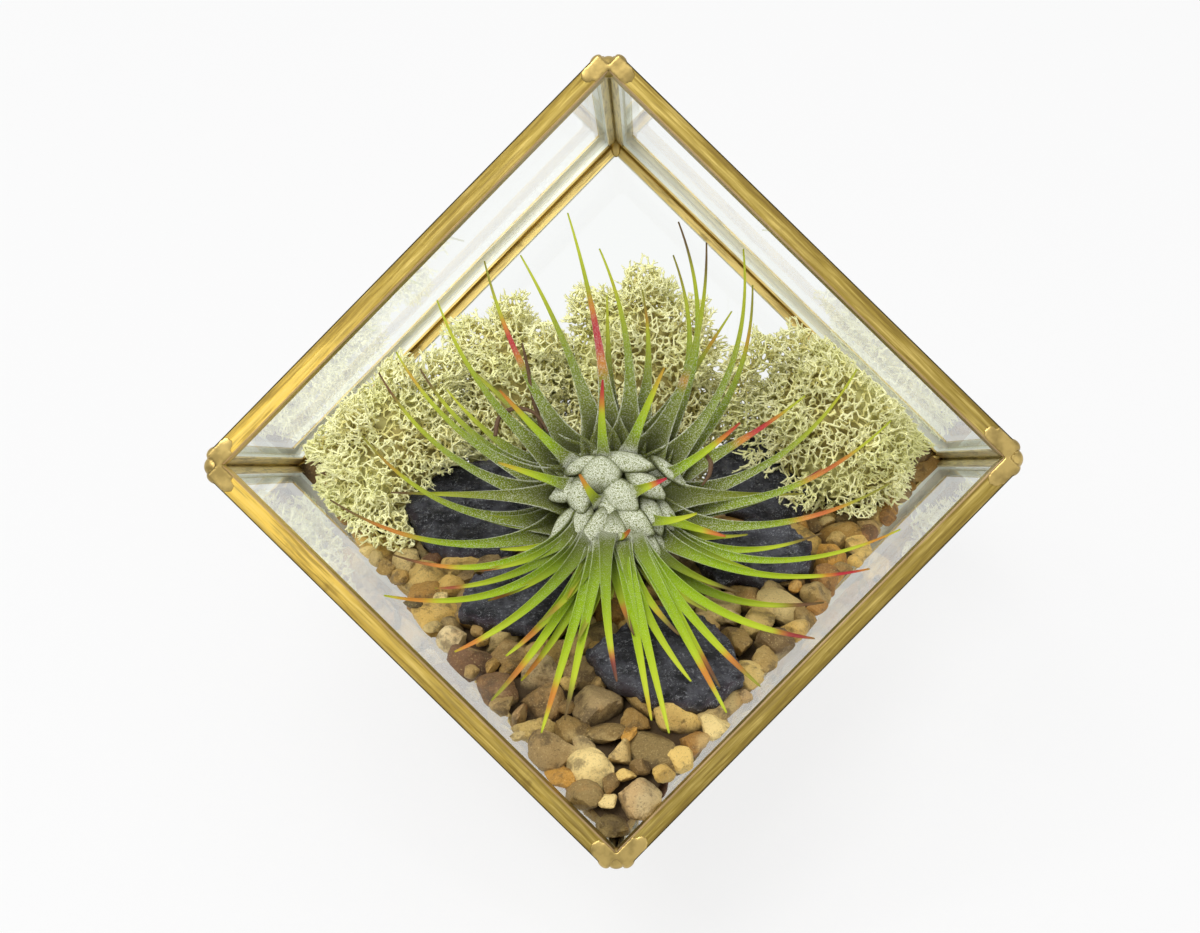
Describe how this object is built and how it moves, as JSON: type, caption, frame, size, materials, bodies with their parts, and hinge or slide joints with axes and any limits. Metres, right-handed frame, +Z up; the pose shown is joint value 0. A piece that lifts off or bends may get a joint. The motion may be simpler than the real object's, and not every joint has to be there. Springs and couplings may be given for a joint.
{
  "type": "glass plant terrarium",
  "caption": "Glass cube in brass channel that stands on a cut-off corner, open at its upper front face, planted with an air plant on gravel with slate chips and moss.",
  "frame": {"origin": "middle of the base triangle, on the table", "axes": "+Z up, -Y towards the open face and the viewer, +X to the viewer's right"},
  "size_m": [0.1388, 0.1599, 0.1469],
  "materials": {
    "brass_channel": "satin, lightly tarnished",
    "solder": "smooth, brass-coloured solder",
    "clear_glass": "clear, polished",
    "gravel": "matte river stones in tan, cream, brown and grey",
    "slate": "rough split stone, blue-grey",
    "dried_moss": "fine branched, dry",
    "leaves": "green with a silvery felt"
  },
  "bodies": {
    "root": {"rim_upper_right": "brass_channel", "rim_upper_left": "brass_channel", "rim_lower_left": "brass_channel", "rim_lower_right": "brass_channel", "came_top": "brass_channel", "came_right": "brass_channel", "came_left": "brass_channel", "came_bottom": "brass_channel", "came_back_upper_right": "brass_channel", "came_back_upper_left": "brass_channel", "came_back_lower_left": "brass_channel", "came_back_lower_right": "brass_channel", "foot_right_side": "brass_channel", "foot_left_side": "brass_channel", "foot_back": "brass_channel", "pane_back": "clear_glass", "pane_lower_left": "clear_glass", "pane_lower_right": "clear_glass", "pane_upper_right": "clear_glass", "pane_upper_left": "clear_glass", "pane_base": "clear_glass", "solder_top_front": "solder", "solder_right_front": "solder", "solder_bottom_front": "solder", "solder_left_front": "solder", "solder_top_back": "solder", "solder_right_back": "solder", "solder_left_back": "solder", "solder_foot_front": "solder", "solder_foot_right": "solder", "solder_foot_left": "solder", "gravel_bed": "gravel", "slate_front": "slate", "slate_front_left": "slate", "slate_back_left": "slate", "slate_back_right": "slate", "slate_right": "slate", "slate_under_plant": "slate", "moss_left": "dried_moss", "moss_back_left": "dried_moss", "moss_back": "dried_moss", "moss_right": "dried_moss", "air_plant": "leaves"}
  },
  "joints": []
}
